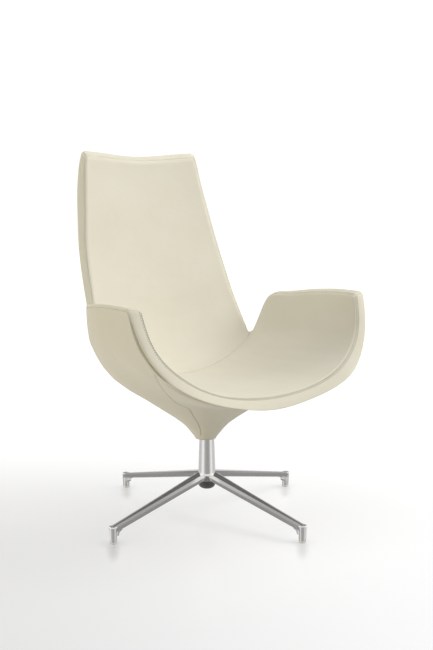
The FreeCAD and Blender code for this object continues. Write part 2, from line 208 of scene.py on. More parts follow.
def shell_depth(p, n, t0=SHELL_T, k=.012):
    """How far behind the inside sheet the outside lies: the plain thickness, or down to the bowl where that is lower."""
    d = np.full(len(p), .2)
    f0 = p[:, 2] - bowl(p[:, 0], p[:, 1])
    inside = f0 <= 0
    found = inside.copy()
    last, step = f0.copy(), .002
    for i in range(1, 100):
        q = p - n * (i * step)
        f = q[:, 2] - bowl(q[:, 0], q[:, 1])
        hit = (~found) & (f <= 0)
        d[hit] = (i - 1) * step + step * last[hit] / (last[hit] - f[hit])
        found |= hit
        last = f
        if found.all():
            break
    h = (d - t0) / k
    t = np.where(h < 40, t0 + k * np.log1p(np.exp(np.minimum(h, 40))), d)
    return np.where(inside, t0, t)


# ---------------------------------------------------------------- the rim, once round: s 0 front centre, 8 right arm corner, 23 top right, 39 top left, 54 left arm corner, 62 front centre
def rim_uv(s):
    s = np.mod(s, 62.)
    u = np.select([s <= 8, s <= 23, s <= 39, s <= 54], [0 * s, s - 8, 15 + 0 * s, 54 - s], 0 * s)
    v = np.select([s <= 8, s <= 23, s <= 39, s <= 54], [8 + s, 16 + 0 * s, 39 - s, 0 * s], s - 54)
    return u, v


CORNERS = (8., 23., 39., 54.)


def outer_rim(s):
    u, v = rim_uv(s)
    fo = resample(FRONT_OUT, NJ)
    front = bspline(17, v) @ mirror(fo[None])[0]
    end = np.array(OUTER_END)
    side = bspline(NR, u) @ end
    sj = np.arange(NJ) / (NJ - 1)
    top = HALF[-1] + np.stack([0 * sj, .014 + .008 * (1 - sj), .020 + 0 * sj], 1)
    top[:, 0] *= 1 + .06 * sj
    top[-1] = end[-1]
    over = bspline(17, v) @ mirror(top[None])[0]
    s = np.mod(s, 62.)[:, None]
    flip = np.array([-1, 1, 1])
    return np.where((s <= 8) | (s >= 54), front, np.where(s <= 23, side, np.where(s < 39, over, side * flip)))


def lift(p, outer=False):
    """Small corrections to the rim: the arm tops bow up a little, and the top edge dips between two soft points."""
    q = p.copy()
    y, z, ax = p[:, 1], p[:, 2], np.abs(p[:, 0])
    if outer:
        arm = np.interp(y, (-.26, -.232, -.185, -.13, -.074, -.022, .021, .058, .09, .116, .135, .15), (3, 3, 4, 5, 5, 6, 7.5, 8.5, 7.5, 6, 1.5, 0))
        top = 3.5 + 8 * smooth(ax / .165)
        q[:, 2] -= .0055 * np.exp(-((y - .163) / .010) ** 2) * smooth((.56 - z) / .02) * (z > .44) * smooth((ax - .26) / .01)
    else:
        arm = np.interp(y, (-.24, -.18, -.10, -.022, .03, .07, .10, .125, .14, .155), (0, -.5, -.5, 0, 1.5, 3.5, 4.5, 4, 1, 0))
        top = 1 + 6 * smooth(ax / .18)
    q[:, 2] += .001 * arm * smooth((z - .55) / .04) * (y < .16)
    q[:, 2] += .001 * top * smooth((z - .955) / .07)
    q[:, 0] -= np.sign(q[:, 0]) * .005 * smooth((z - .985) / .06) * smooth((ax - .150) / .045)
    return q


def round_corners(s, p, reach):
    """Swaps each sharp corner of the closed rim for a smooth arc that starts `reach` before it."""
    q = p.copy()
    for c in CORNERS:
        k = int(np.argmin(np.abs(s - c)))
        for way in (-1, 1):
            idx, dist = [], 0.
            i = k
            while dist < reach and len(idx) < 4000:
                j = (i + way) % len(s)
                dist += np.linalg.norm(p[j] - p[i])
                idx.append((j, dist))
                i = j
            a, b = p[idx[-1][0]], None
            if way < 0:
                before, ia = a, idx
            else:
                after, ib = a, idx
        for j, d in ia:
            t = .5 * (1 - min(d / reach, 1))
            q[j] = (1 - t) ** 2 * before + 2 * t * (1 - t) * p[k] + t * t * after
        for j, d in ib:
            t = .5 * (1 + min(d / reach, 1))
            q[j] = (1 - t) ** 2 * before + 2 * t * (1 - t) * p[k] + t * t * after
        q[k] = .25 * before + .5 * p[k] + .25 * after
    return q


S = np.unique(np.r_[np.arange(0, 62, .01), np.array(CORNERS)])
UV = rim_uv(S)
R_IN = inner(*UV)
EV = EDGE_R / np.linalg.norm(inner(np.linspace(0, 15, 301), 16.) - inner(np.linspace(0, 15, 301), 15.99), axis=-1) * .01
edge_v = lambda u: np.interp(u, np.linspace(0, 15, 301), EV)
U_FRONT, U_TOP = .05, .07


def pull_in(s):
    """The place on the inside sheet that is EDGE_R in from rim place s."""
    u, v = rim_uv(s)
    u = np.clip(u, U_FRONT, 15 - U_TOP)
    e = edge_v(u)
    return u, np.clip(v, e, 16 - e)


def raise_sheet(p):
    """The same corrections as lift, for points of the inside sheet near the rim."""
    return lift(p)


R_A1 = raise_sheet(inner(*pull_in(S)))
R_IN = round_corners(S, lift(R_IN), .006)
R_OUT = round_corners(S, lift(outer_rim(S), True), .0115)
R_F = unit(R_OUT - R_IN)
R_W = np.linalg.norm(R_OUT - R_IN, axis=1)
d = R_A1 - R_IN
R_N = unit(-(d - (d * R_F).sum(1, keepdims=True) * R_F))


def wrap_smooth(a, width):
    k = np.hanning(2 * width + 1)
    k /= k.sum()
    return np.stack([np.convolve(np.r_[a[-width:, i], a[:, i], a[:width, i]], k, "valid") for i in range(a.shape[1])], 1)


R_N = unit(wrap_smooth(R_N, 12))
R_F = unit(wrap_smooth(R_F, 8))
R_LEN = np.r_[0, np.cumsum(np.linalg.norm(np.diff(np.vstack([R_OUT, R_OUT[:1]]), axis=0), axis=1))]


def at(table, s):
    s = np.mod(s, 62.)
    x = np.r_[S, 62.]
    return np.stack([np.interp(s, x, np.r_[table[:, i], table[0, i]]) for i in range(table.shape[1])], 1)


def recess(s):
    """How far the outside skin lies below the facing's outer edge: deepest under the front."""
    s = np.mod(s, 62.)
    d = np.minimum(s, 62 - s)
    return np.where(d <= 8, .0012 + .0073 * smooth((5.4 - d) / 1.1), .0012)


def gap(s):
    """How open the fold between the facing and the outside skin is: widest half way down each arm's front."""
    d = np.minimum(np.mod(s, 62.), 62 - np.mod(s, 62.))
    return np.interp(d, (2.9, 3.6, 4.4, 5.2, 6., 6.5, 7., 7.5, 8., 8.4), (0, .35, .80, 1.1, 1.25, 1.4, 1.3, .85, .2, 0))


def shell_edge(s):
    """The front edge of the outside skin: it stands back and out from the facing where the fold is open."""
    o = at(R_OUT, s)
    g = gap(s)[:, None]
    return o + g * np.concatenate([np.sign(o[:, :1]) * .0048, 0 * g + .0072, 0 * g], 1)


# ---------------------------------------------------------------- outside skin, on rays from the neck to the rim
def solve_centre():
    u = np.linspace(2, 4, 401)
    p, n = inner(u, 8.), inner_normal(u, 8.)
    q = p - n * shell_depth(p, n)[:, None]
    return float(np.interp(NECK_Y, q[:, 1], u))


UC = solve_centre()


def even_rim(step):
    """Rim places an even distance apart, with each corner kept."""
    total, out = R_LEN[-1], []
    stops = [0.] + [float(np.interp(c, np.r_[S, 62.], R_LEN)) for c in CORNERS] + [total]
    for a, b in zip(stops, stops[1:]):
        n = max(2, int(round((b - a) / step)))
        out += list(np.linspace(a, b, n, endpoint=False))
    return np.interp(out, R_LEN, np.r_[S, 62.])


def outer_point(u, v):
    p, n = inner(u, v), inner_normal(u, v)
    return p - n * shell_depth(p, n)[:, None], p


def outside_rays(step, rings_mid):
    s = even_rim(step)
    bu, bv = rim_uv(s)
    t = np.r_[np.linspace(0, .12, 70, endpoint=False), np.linspace(.12, 1, 150)]
    u = UC + (bu[:, None] - UC) * t
    v = 8 + (bv[:, None] - 8) * t
    q, p = outer_point(u.ravel(), v.ravel())
    q, p = q.reshape(len(s), len(t), 3), p.reshape(len(s), len(t), 3)
    rim = shell_edge(s)
    f = at(R_F, s)
    off = (rim - q[:, -1])[:, None]
    open_ = np.minimum(gap(s), 1)
    seg = np.linalg.norm(np.diff(q, axis=1), axis=2)
    left = np.concatenate([np.cumsum(seg[:, ::-1], 1)[:, ::-1], np.zeros((len(s), 1))], 1)
    fall = np.clip(1 - left / .085, 0, 1) ** 2
    q = q + off * fall[..., None]
    r = np.hypot(q[..., 0], q[..., 1] - NECK_Y)
    out, ins = [], []
    near_neck = np.r_[np.arange(0, .075, .003)]
    near_rim = np.array([.034, .029, .025, .0215, .0185, .016, .0135, .011, .0084])
    for k in range(len(s)):
        i = int(np.argmax(r[k] > NECK_R))
        a = (NECK_R - r[k, i - 1]) / (r[k, i] - r[k, i - 1])
        first = q[k, i - 1] + (q[k, i] - q[k, i - 1]) * a
        first_p = p[k, i - 1] + (p[k, i] - p[k, i - 1]) * a
        ray, rayp = np.vstack([first, q[k, i:]]), np.vstack([first_p, p[k, i:]])
        d = np.r_[0, np.cumsum(np.linalg.norm(np.diff(ray, axis=0), axis=1))]
        L = d[-1]
        mid = np.linspace(.075, L - .040, rings_mid)
        where = np.r_[near_neck, mid, L - near_rim + .0052 * open_[k] * (1 - smooth((near_rim - .0084) / .02))]
        pts = np.stack([np.interp(where, d, ray[:, c]) for c in range(3)], 1)
        pin = np.stack([np.interp(where, d, rayp[:, c]) for c in range(3)], 1)
        w = 1 - smooth(((L - where) - .0095) / .018)
        pts = pts - f[k] * (float(recess(s[k:k + 1])[0]) * w)[:, None]
        out.append(pts)
        ins.append(pin)
    return s, np.array(out), np.array(ins)


def loop_faces(nk, nj, flip=False):
    """Quads of a closed band of nk columns, each of nj points."""
    k, j = np.meshgrid(np.arange(nk), np.arange(nj - 1), indexing="ij")
    a, b = k * nj + j, ((k + 1) % nk) * nj + j
    f = np.stack([a, b, b + 1, a + 1], -1).reshape(-1, 4)
    return f[:, ::-1] if flip else f


def make(name, verts, faces, material, body="seat", smooth_shade=True):
    mesh = bpy.data.meshes.new(name)
    verts = np.asarray(verts, float)
    mesh.from_pydata(verts.tolist(), [], [list(map(int, f)) for f in faces])
    mesh.validate()
    mesh.update()
    mesh.materials.append(material)
    if smooth_shade:
        mesh.polygons.foreach_set("use_smooth", np.ones(len(mesh.polygons), bool))
    o = bpy.data.objects.new(name, mesh)
    bpy.context.scene.collection.objects.link(o)
    outward(o)
    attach(o, body)
    return o


def outward(o):
    """Turns every face out, by the sign of each closed part's volume."""
    import bmesh
    bm = bmesh.new()
    bm.from_mesh(o.data)
    bmesh.ops.recalc_face_normals(bm, faces=bm.faces[:])
    bm.to_mesh(o.data)
    bm.free()


# ---------------------------------------------------------------- materials
def nodes_of(name):
    m = bpy.data.materials.new(name)
    m.use_nodes = True
    nt = m.node_tree
    nt.nodes.clear()
    out = nt.nodes.new("ShaderNodeOutputMaterial")
    sh = nt.nodes.new("ShaderNodeBsdfPrincipled")
    nt.links.new(sh.outputs[0], out.inputs[0])
    return m, nt, sh


def add(nt, kind, **values):
    n = nt.nodes.new(kind)
    for k, v in values.items():
        if k in n.inputs:
            n.inputs[k].default_value = v
        else:
            setattr(n, k, v)
    return n


def leather(name, base, dark, rough=.52, grain=.10, soft=.12):
    m, nt, sh = nodes_of(name)
    co = add(nt, "ShaderNodeTexCoord")
    n1 = add(nt, "ShaderNodeTexNoise", **{"Scale": 9., "Detail": 3.})
    nt.links.new(co.outputs["Object"], n1.inputs["Vector"])
    ramp = add(nt, "ShaderNodeValToRGB")
    ramp.color_ramp.elements[0].position, ramp.color_ramp.elements[1].position = .30, .72
    ramp.color_ramp.elements[0].color, ramp.color_ramp.elements[1].color = (*dark, 1), (*base, 1)
    nt.links.new(n1.outputs["Fac"], ramp.inputs["Fac"])
    nt.links.new(ramp.outputs["Color"], sh.inputs["Base Color"])
    fine = add(nt, "ShaderNodeTexVoronoi", **{"Scale": 620.})
    nt.links.new(co.outputs["Object"], fine.inputs["Vector"])
    n2 = add(nt, "ShaderNodeTexNoise", **{"Scale": 34., "Detail": 2.})
    nt.links.new(co.outputs["Object"], n2.inputs["Vector"])
    b1 = add(nt, "ShaderNodeBump", **{"Strength": soft, "Distance": .004})
    b2 = add(nt, "ShaderNodeBump", **{"Strength": grain, "Distance": .0006})
    nt.links.new(n2.outputs["Fac"], b1.inputs["Height"])
    nt.links.new(fine.outputs["Distance"], b2.inputs["Height"])
    nt.links.new(b1.outputs["Normal"], b2.inputs["Normal"])
    nt.links.new(b2.outputs["Normal"], sh.inputs["Normal"])
    sh.inputs["Roughness"].default_value = rough
    sh.inputs["Specular IOR Level"].default_value = .32
    sh.inputs["Sheen Weight"].default_value = .08
    sh.inputs["Sheen Roughness"].default_value = .5
    return m


def plain(name, colour, metal=0., rough=.4, scale=60., vary=.06, bump=.02, stretch=(1, 1, 1), spec=.5, distance=.001, edge=0., painted_hub_shade=False):
    m, nt, sh = nodes_of(name)
    co = add(nt, "ShaderNodeTexCoord")
    mp = add(nt, "ShaderNodeMapping", **{"Scale": stretch})
    nt.links.new(co.outputs["Object"], mp.inputs["Vector"])
    n1 = add(nt, "ShaderNodeTexNoise", **{"Scale": scale, "Detail": 3.})
    nt.links.new(mp.outputs["Vector"], n1.inputs["Vector"])
    ramp = add(nt, "ShaderNodeValToRGB")
    ramp.color_ramp.elements[0].position, ramp.color_ramp.elements[1].position = .25, .75
    ramp.color_ramp.elements[0].color = (*[c * (1 - vary) for c in colour], 1)
    ramp.color_ramp.elements[1].color = (*[min(1, c * (1 + vary)) for c in colour], 1)
    nt.links.new(n1.outputs["Fac"], ramp.inputs["Fac"])
    if painted_hub_shade:         # painted shade: the casting's colour is darkened to about an eighth within 40 mm of the column's axis, fading out by 80 mm, round its boss
        off = add(nt, "ShaderNodeVectorMath", operation="MULTIPLY")
        off.inputs[1].default_value = (10, 10, 0)
        nt.links.new(co.outputs["Object"], off.inputs[0])
        far = add(nt, "ShaderNodeVectorMath", operation="LENGTH")
        nt.links.new(off.outputs["Vector"], far.inputs[0])
        hub_shade_ramp = add(nt, "ShaderNodeValToRGB")
        hub_shade_ramp.color_ramp.elements[0].position, hub_shade_ramp.color_ramp.elements[1].position = .40, .80
        hub_shade_ramp.color_ramp.elements[0].color, hub_shade_ramp.color_ramp.elements[1].color = (.12, .12, .12, 1), (1, 1, 1, 1)
        nt.links.new(far.outputs["Value"], hub_shade_ramp.inputs["Fac"])
        mix = add(nt, "ShaderNodeMix", data_type="RGBA", blend_type="MULTIPLY")
        mix.inputs["Factor"].default_value = 1.
        nt.links.new(ramp.outputs["Color"], mix.inputs[6])
        nt.links.new(hub_shade_ramp.outputs["Color"], mix.inputs[7])
        nt.links.new(mix.outputs[2], sh.inputs["Base Color"])
    else:
        nt.links.new(ramp.outputs["Color"], sh.inputs["Base Color"])
    b = add(nt, "ShaderNodeBump", **{"Strength": bump, "Distance": distance})
    nt.links.new(n1.outputs["Fac"], b.inputs["Height"])
    if edge:        # softens the look of sharp cast edges
        e = add(nt, "ShaderNodeBevel", samples=8, **{"Radius": edge})
        nt.links.new(e.outputs["Normal"], b.inputs["Normal"])
    nt.links.new(b.outputs["Normal"], sh.inputs["Normal"])
    sh.inputs["Metallic"].default_value = metal
    sh.inputs["Roughness"].default_value = rough
    sh.inputs["Specular IOR Level"].default_value = spec
    return m


CREAM = leather("leather_inside", (.745, .708, .590), (.722, .684, .562))
CREAM_BAND = leather("leather_facing", (.728, .690, .562), (.697, .658, .530), rough=.48, soft=.2)
# painted shade: the outside leather is a darker, yellower copy of the inside cream, for the shade on the shell's
# outside
CREAM_OUT_SHADED = leather("leather_outside_painted_shade", (.715, .668, .545), (.690, .643, .518), rough=.5)
THREAD = plain("stitch_thread", (.27, .245, .18), rough=.6, scale=900, bump=.2)
THREAD_PALE = plain("stitch_thread_pale", (.62, .58, .46), rough=.6, scale=900, bump=.2)
# painted shade: dark leather for the seam cords, standing in for the shade in the narrow seam groove
WELT_SHADE = leather("leather_welt_painted_shade", (.40, .36, .25), (.35, .315, .21), rough=.6)
# painted shade: a darker copy of the facing leather, put where the fold between facing and outside skin lies in shade
FOLD_SHADE = leather("leather_fold_painted_shade", (.68, .625, .485), (.64, .585, .45), rough=.62, soft=.3)

# ---------------------------------------------------------------- profile of the rim
def facing(s, a, b):
    """Point on the facing at rim place s: a metres out from the inner edge, b metres proud of the flat."""
    i, f, n = at(R_IN, s), at(R_F, s), at(R_N, s)
    return i + f * np.asarray(a)[:, None] + n * np.asarray(b)[:, None]


def crown(a, w):
    x = np.clip(a / w, 0, 1)
    return .0022 * np.sin(np.pi * x) ** .8


def over_top(s):
    """1 along the top edge, where the front leather laps over with no open seam, 0 elsewhere."""
    s = np.mod(s, 62.)
    return smooth((s - 23.) / .5) * (1 - smooth((s - 38.5) / .5))


def outer_dir(s, skin_near):
    """Direction in which the outside skin leaves the rim."""
    o = at(R_OUT, s)
    d = skin_near - o
    t = unit(at(R_OUT, s + .02) - at(R_OUT, s - .02))
    d = d - (d * t).sum(1, keepdims=True) * t
    return unit(d)


STEP = .0062
RAY_S, SKIN, SKIN_P = outside_rays(STEP, 70)
print("outside skin", SKIN.shape)
SKIN_TAIL = SKIN[:, -5]          # a place a little way in from the rim, on each ray


def do_at(s):
    """Outer leaving direction at any rim place."""
    x = np.r_[RAY_S, 62. + RAY_S[0]]
    tab = DO_TABLE
    s = np.mod(s, 62.)
    v = np.stack([np.interp(s, x, np.r_[tab[:, i], tab[0, i]]) for i in range(3)], 1)
    return unit(v)


DO_TABLE = outer_dir(RAY_S, SKIN_TAIL)
pad_n = 3
DO_TABLE = unit(sum(np.roll(DO_TABLE, k, 0) for k in range(-pad_n, pad_n + 1)))


def outside_skin():
    nk, nj = SKIN.shape[:2]
    s = RAY_S
    o, f, do = at(R_OUT, s), at(R_F, s), DO_TABLE
    rc = recess(s)[:, None]
    # edge: rolls in under the facing's lip
    q_ = np.minimum(gap(s), 1)[:, None]
    e1 = SKIN[:, -1] - f * (.0011 + .0006 * q_) - do * (.0005 + .0014 * q_)
    e2 = o + do * (.0052 + .0018 * q_) - f * (rc + .0040)
    r = np.hypot(SKIN[..., 0], SKIN[..., 1] - NECK_Y)
    depth = np.linalg.norm(SKIN - SKIN_P, axis=2)
    back = SKIN + (SKIN_P - SKIN) * .32
    # in the funnel the skin is thin
    dj = np.gradient(SKIN, axis=1)
    dk = np.roll(SKIN, -1, 0) - np.roll(SKIN, 1, 0)
    n = unit(np.cross(dk, dj))
    inward = np.sign((n * (SKIN_P - SKIN)).sum(2, keepdims=True))
    n = n * inward
    thin = SKIN + n * .003
    k = smooth((r - .124) / .03)[..., None]
    back = thin * (1 - k) + back * k
    back[:, 0] = SKIN[:, 0] * 1.
    back[:, 0, 0] *= .0287 / NECK_R
    back[:, 0, 1] = NECK_Y + (SKIN[:, 0, 1] - NECK_Y) * .0287 / NECK_R
    back[:, 0, 2] += .0006
    back[:, 1] = thin[:, 1]
    j1 = o + do * (.0095 + .0025 * q_) - f * (rc + .0075)
    ring = np.concatenate([SKIN, e1[:, None], e2[:, None], j1[:, None], back[:, -3::-1]], 1)
    m = ring.shape[1]
    k, j = np.meshgrid(np.arange(nk), np.arange(m), indexing="ij")
    a, b = k * m + j, ((k + 1) % nk) * m + j
    a2, b2 = k * m + (j + 1) % m, ((k + 1) % nk) * m + (j + 1) % m
    faces = np.stack([a, b, b2, a2], -1).reshape(-1, 4)
    obj = make("outer_leather", ring.reshape(-1, 3), faces, CREAM_OUT_SHADED)
    # painted shade: the skin's edge roll, where it turns in under the facing's lip, gets the darker fold leather
    obj.data.materials.append(FOLD_SHADE)
    index = np.where((j.ravel() >= nj) & (j.ravel() <= nj + 1), 1, 0).astype(np.int32)
    obj.data.polygons.foreach_set("material_index", index)
    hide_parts("outer_pad_seat", "outer_pad_back", "funnel_cover")
    return obj


def settle(name, P, N, cap, pressure=4.):
    """Lets taut leather rise between its sewn edges: a sheet pinned round its border, under a little pressure, its rise capped."""
    nu, nv = P.shape[:2]
    i, j = np.meshgrid(np.arange(nu - 1), np.arange(nv - 1), indexing="ij")
    q = np.stack([i * nv + j, i * nv + j + 1, (i + 1) * nv + j + 1, (i + 1) * nv + j], -1).reshape(-1, 4)
    a, b, c = (P.reshape(-1, 3)[q[:, k]] for k in (0, 1, 3))
    if (np.cross(b - a, c - a) * N.reshape(-1, 3)[q[:, 0]]).sum() < 0:
        q = q[:, ::-1]
    mesh = bpy.data.meshes.new(name + "_sheet")
    mesh.from_pydata(P.reshape(-1, 3).tolist(), [], q.tolist())
    o = bpy.data.objects.new(name + "_sheet", mesh)
    scene_ = bpy.context.scene
    scene_.collection.objects.link(o)
    gi, gj = np.meshgrid(np.arange(nu), np.arange(nv), indexing="ij")
    ring = np.minimum(np.minimum(gi, nu - 1 - gi), np.minimum(gj, nv - 1 - gj)).ravel()
    pin = o.vertex_groups.new(name="pin")
    for depth, weight in ((0, 1.), (1, 1.), (2, .6), (3, .3)):
        pin.add([int(k) for k in np.where(ring == depth)[0]], weight, "REPLACE")
    mod = o.modifiers.new("cloth", "CLOTH")
    st = mod.settings
    st.quality, st.mass = 5, .3
    st.tension_stiffness = st.compression_stiffness = 15
    st.shear_stiffness, st.bending_stiffness = 5, .8
    st.vertex_group_mass = "pin"
    st.use_pressure, st.uniform_pressure_force = True, pressure
    st.effector_weights.gravity = 0
    mod.collision_settings.use_collision = mod.collision_settings.use_self_collision = False
    mod.point_cache.frame_start, mod.point_cache.frame_end = 1, 20
    for frame_no in range(1, 21):
        scene_.frame_set(frame_no)
    ev = o.evaluated_get(bpy.context.evaluated_depsgraph_get())
    co = np.empty(nu * nv * 3, np.float32)
    ev.data.vertices.foreach_get("co", co)
    rise = ((co.reshape(P.shape) - P) * N).sum(2)
    bpy.data.objects.remove(o)
    bpy.data.meshes.remove(mesh)
    scene_.frame_set(1)
    print("cloth", name, "raw rise", float(rise.min()), float(rise.max()))
    rise = np.maximum(rise, 0) * (cap / max(float(np.percentile(rise, 99)), 1e-6))
    rise = np.minimum(rise, cap * 1.1)
    for _ in range(6):
        rise[1:-1, 1:-1] = .5 * rise[1:-1, 1:-1] + .125 * (rise[:-2, 1:-1] + rise[2:, 1:-1] + rise[1:-1, :-2] + rise[1:-1, 2:])
    return P + N * rise[..., None]


def panel(name, u0, u1, nu, nv, node):
    """A padded inside panel: a grid of the sheet, its edge rolled over the rim, and a back face."""
    gu = np.linspace(u0, u1, nu)
    w = np.linspace(-1, 1, nv)
    e = edge_v(gu)
    U = gu[:, None] + 0 * w
    V = 8 + (8 - e)[:, None] * w
    P = inner(U, V)
    N = inner_normal(U, V)
    P = lift(P.reshape(-1, 3)).reshape(P.shape)
    # soft valley at the seam between seat and back
    sp = np.linalg.norm(np.gradient(inner(gu, 8.), gu, axis=0), axis=1)
    dist = np.abs(np.interp(gu, gu, np.abs(gu - SEAM_U)) * sp)[:, None]
    edge = np.minimum(1, (1 - np.abs(w)) / .10)
    valley = .0030 * np.exp(-(dist / .016) ** 2) + .0006 * np.exp(-(dist / .0030) ** 2)
    P = P - N * (valley * (.35 + .65 * smooth(edge)))[..., None]
    P = settle(name, P, N, .0036)
    B = P - N * (.0135 - .7 * np.minimum(valley, .006))[..., None]
    # order the border once round, from the seam side
    first_seam, last_seam = abs(u0 - SEAM_U) < .1, abs(u1 - SEAM_U) < .1

    def s_side(u):
        a = np.where(u < 1, (u - U_FRONT) / (1 - U_FRONT), np.where(u > 14, 14 + (u - 14) / (1 - U_TOP), u))
        return a
    loop = [(i, nv - 1) for i in range(nu)] + [(nu - 1, j) for j in range(nv - 2, -1, -1)] + \
           [(i, 0) for i in range(nu - 2, -1, -1)] + [(0, j) for j in range(1, nv - 1)]
    loop = np.array(loop)
    li, lj = loop[:, 0], loop[:, 1]
    su = s_side(gu)
    S_l = np.zeros(len(loop))
    on_seam = np.zeros(len(loop), bool)
    for n_, (i, j) in enumerate(loop):
        if j == nv - 1:
            S_l[n_] = 8 + su[i]
        elif j == 0:
            S_l[n_] = 54 - su[i]
        elif i == 0 and not first_seam:
            S_l[n_] = np.mod(w[j] * 8, 62)
        elif i == nu - 1 and not last_seam:
            S_l[n_] = 31 - w[j] * 8
        else:
            on_seam[n_] = True
    A1 = P[li, lj]
    I, F, Nf = at(R_IN, S_l), at(R_F, S_l), at(R_N, S_l)
    W = np.interp(np.mod(S_l, 62), np.r_[S, 62.], np.r_[R_W, R_W[0]])
    A2 = I + F * EDGE_R + Nf * .0006
    cols = []
    for t in (.25, .5, .75, 1.):
        cols.append((1 - t) ** 2 * A1 + 2 * t * (1 - t) * I + t * t * A2)
    t_ = over_top(S_l)[:, None]
    for a, b, a2, b2 in ((.0064, .0009, .0066, .0012), (.0070, .0006, .0080, .0012), (.0074, -.0004, .0093, .0006), (.0074, -.0036, .0096, -.0016)):
        cols.append(I + F * (a * (1 - t_) + a2 * t_) + Nf * (b * (1 - t_) + b2 * t_))
    nseam = -N[li, lj]
    for k_ in range(len(cols)):      # along the seat-back seam the edge just turns down
        d_ = [.0006, .0013, .0022, .0032, .0045, .006, .0075, .009][k_]
        cols[k_][on_seam] = (A1 + nseam * d_)[on_seam]
    cols = np.array(cols)            # (8, L, 3)
    ng = nu * nv
    verts = np.vstack([P.reshape(-1, 3), B.reshape(-1, 3), cols.reshape(-1, 3)])
    i, j = np.meshgrid(np.arange(nu - 1), np.arange(nv - 1), indexing="ij")
    q = np.stack([i * nv + j, i * nv + j + 1, (i + 1) * nv + j + 1, (i + 1) * nv + j], -1).reshape(-1, 4)
    faces = [*q.tolist(), *(q[:, ::-1] + ng).tolist()]
    L = len(loop)
    base = li * nv + lj
    for k_ in range(L):
        m_ = (k_ + 1) % L
        chain_a = [base[k_]] + [2 * ng + c * L + k_ for c in range(8)] + [ng + base[k_]]
        chain_b = [base[m_]] + [2 * ng + c * L + m_ for c in range(8)] + [ng + base[m_]]
        for c in range(9):
            faces.append([chain_a[c], chain_b[c], chain_b[c + 1], chain_a[c + 1]])
    obj = make(name, verts, faces, CREAM)
    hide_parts(node)
    return obj


def facing_band(name, s0, s1, step):
    """One length of the rim's facing, closed, with its ends turned down into the corner seams."""
    x = np.r_[S, 62.]
    l0, l1 = np.interp(s0, x, R_LEN), np.interp(s1 if s1 <= 62 else s1 - 62, x, R_LEN)
    if s1 > 62:
        l1 += R_LEN[-1]
    n = int((l1 - l0) / step)
    ls = np.linspace(l0 + .0004, l1 - .0004, n)
    ls = np.sort(np.r_[ls, l0 + .0012, l0 + .0024, l1 - .0012, l1 - .0024])
    s = np.interp(np.mod(ls, R_LEN[-1]), R_LEN, x)
    ends = np.minimum(ls - l0, l1 - ls)
    dip = .0016 * np.exp(-(ends / .0013) ** 2)
    w = np.interp(np.mod(s, 62), x, np.r_[R_W, R_W[0]])
    o, f, nf, do = at(R_OUT, s), at(R_F, s), at(R_N, s), do_at(s)
    draw = .0022 * np.minimum(gap(s), 1)
    o, w = o - f * draw[:, None], w - draw
    rc = recess(s)
    prof = []
    t_ = over_top(s)
    for a, b in ((.0077, -.0060), (.0076, -.0024), (.0077, -.0006), (.0082, .0004), (.0092, .0009)):
        prof.append(facing(s, a + 0 * s, b - dip - .0004 * t_))
    for x_ in np.linspace(0, 1, 11):
        a = .0110 + (w - .0110 - .0055) * x_
        prof.append(facing(s, a, crown(a, w) + .0002 - dip))
    ro = .0028 if name == "facing_front" else .0050
    b1 = o - f * ro + nf * .0006 - nf * dip[:, None]
    ctl = o + nf * .0008 - nf * dip[:, None]
    b2 = o + do * ro - nf * dip[:, None] * 0 - f * dip[:, None]
    for t in (.2, .4, .6, .8, 1.):
        prof.append((1 - t) ** 2 * b1 + 2 * t * (1 - t) * ctl + t * t * b2)
    q_ = np.minimum(gap(s), 1)[:, None]
    prof.append(o + do * (.0068 + .0015 * q_) - f * ((.0006 + dip)[:, None] + .0016 * q_))
    prof.append(o + do * (.0076 + .002 * q_) - f * (.0014 + .0022 * q_))
    prof.append(o + do * (.0076 + .002 * q_) - f * (rc[:, None] + .0040))
    prof.append(o + do * .0058 - f * (rc[:, None] + .0035))
    prof.append(o - f * .0100 - nf * .0060)
    prof.append(facing(s, w * .5, -.0060 + 0 * s))
    prof = np.array(prof).transpose(1, 0, 2)
    nk, m = prof.shape[:2]
    k, j = np.meshgrid(np.arange(nk - 1), np.arange(m), indexing="ij")
    a, b = k * m + j, (k + 1) * m + j
    a2, b2 = k * m + (j + 1) % m, (k + 1) * m + (j + 1) % m
    faces = np.stack([a, b, b2, a2], -1).reshape(-1, 4).tolist()
    faces.append(list(range(m))[::-1])
    faces.append([(nk - 1) * m + j for j in range(m)])
    obj = make(name, prof.reshape(-1, 3), faces, CREAM_BAND)
    if name == "facing_front":      # painted shade: the return into the fold gets the darker fold leather, for the shade inside the fold
        obj.data.materials.append(FOLD_SHADE)
        index = np.zeros(len(faces), np.int32)
        index[:len(faces) - 2] = np.where((j.ravel() >= 20) & (j.ravel() <= 24), 1, 0)
        obj.data.polygons.foreach_set("material_index", index)
    return obj


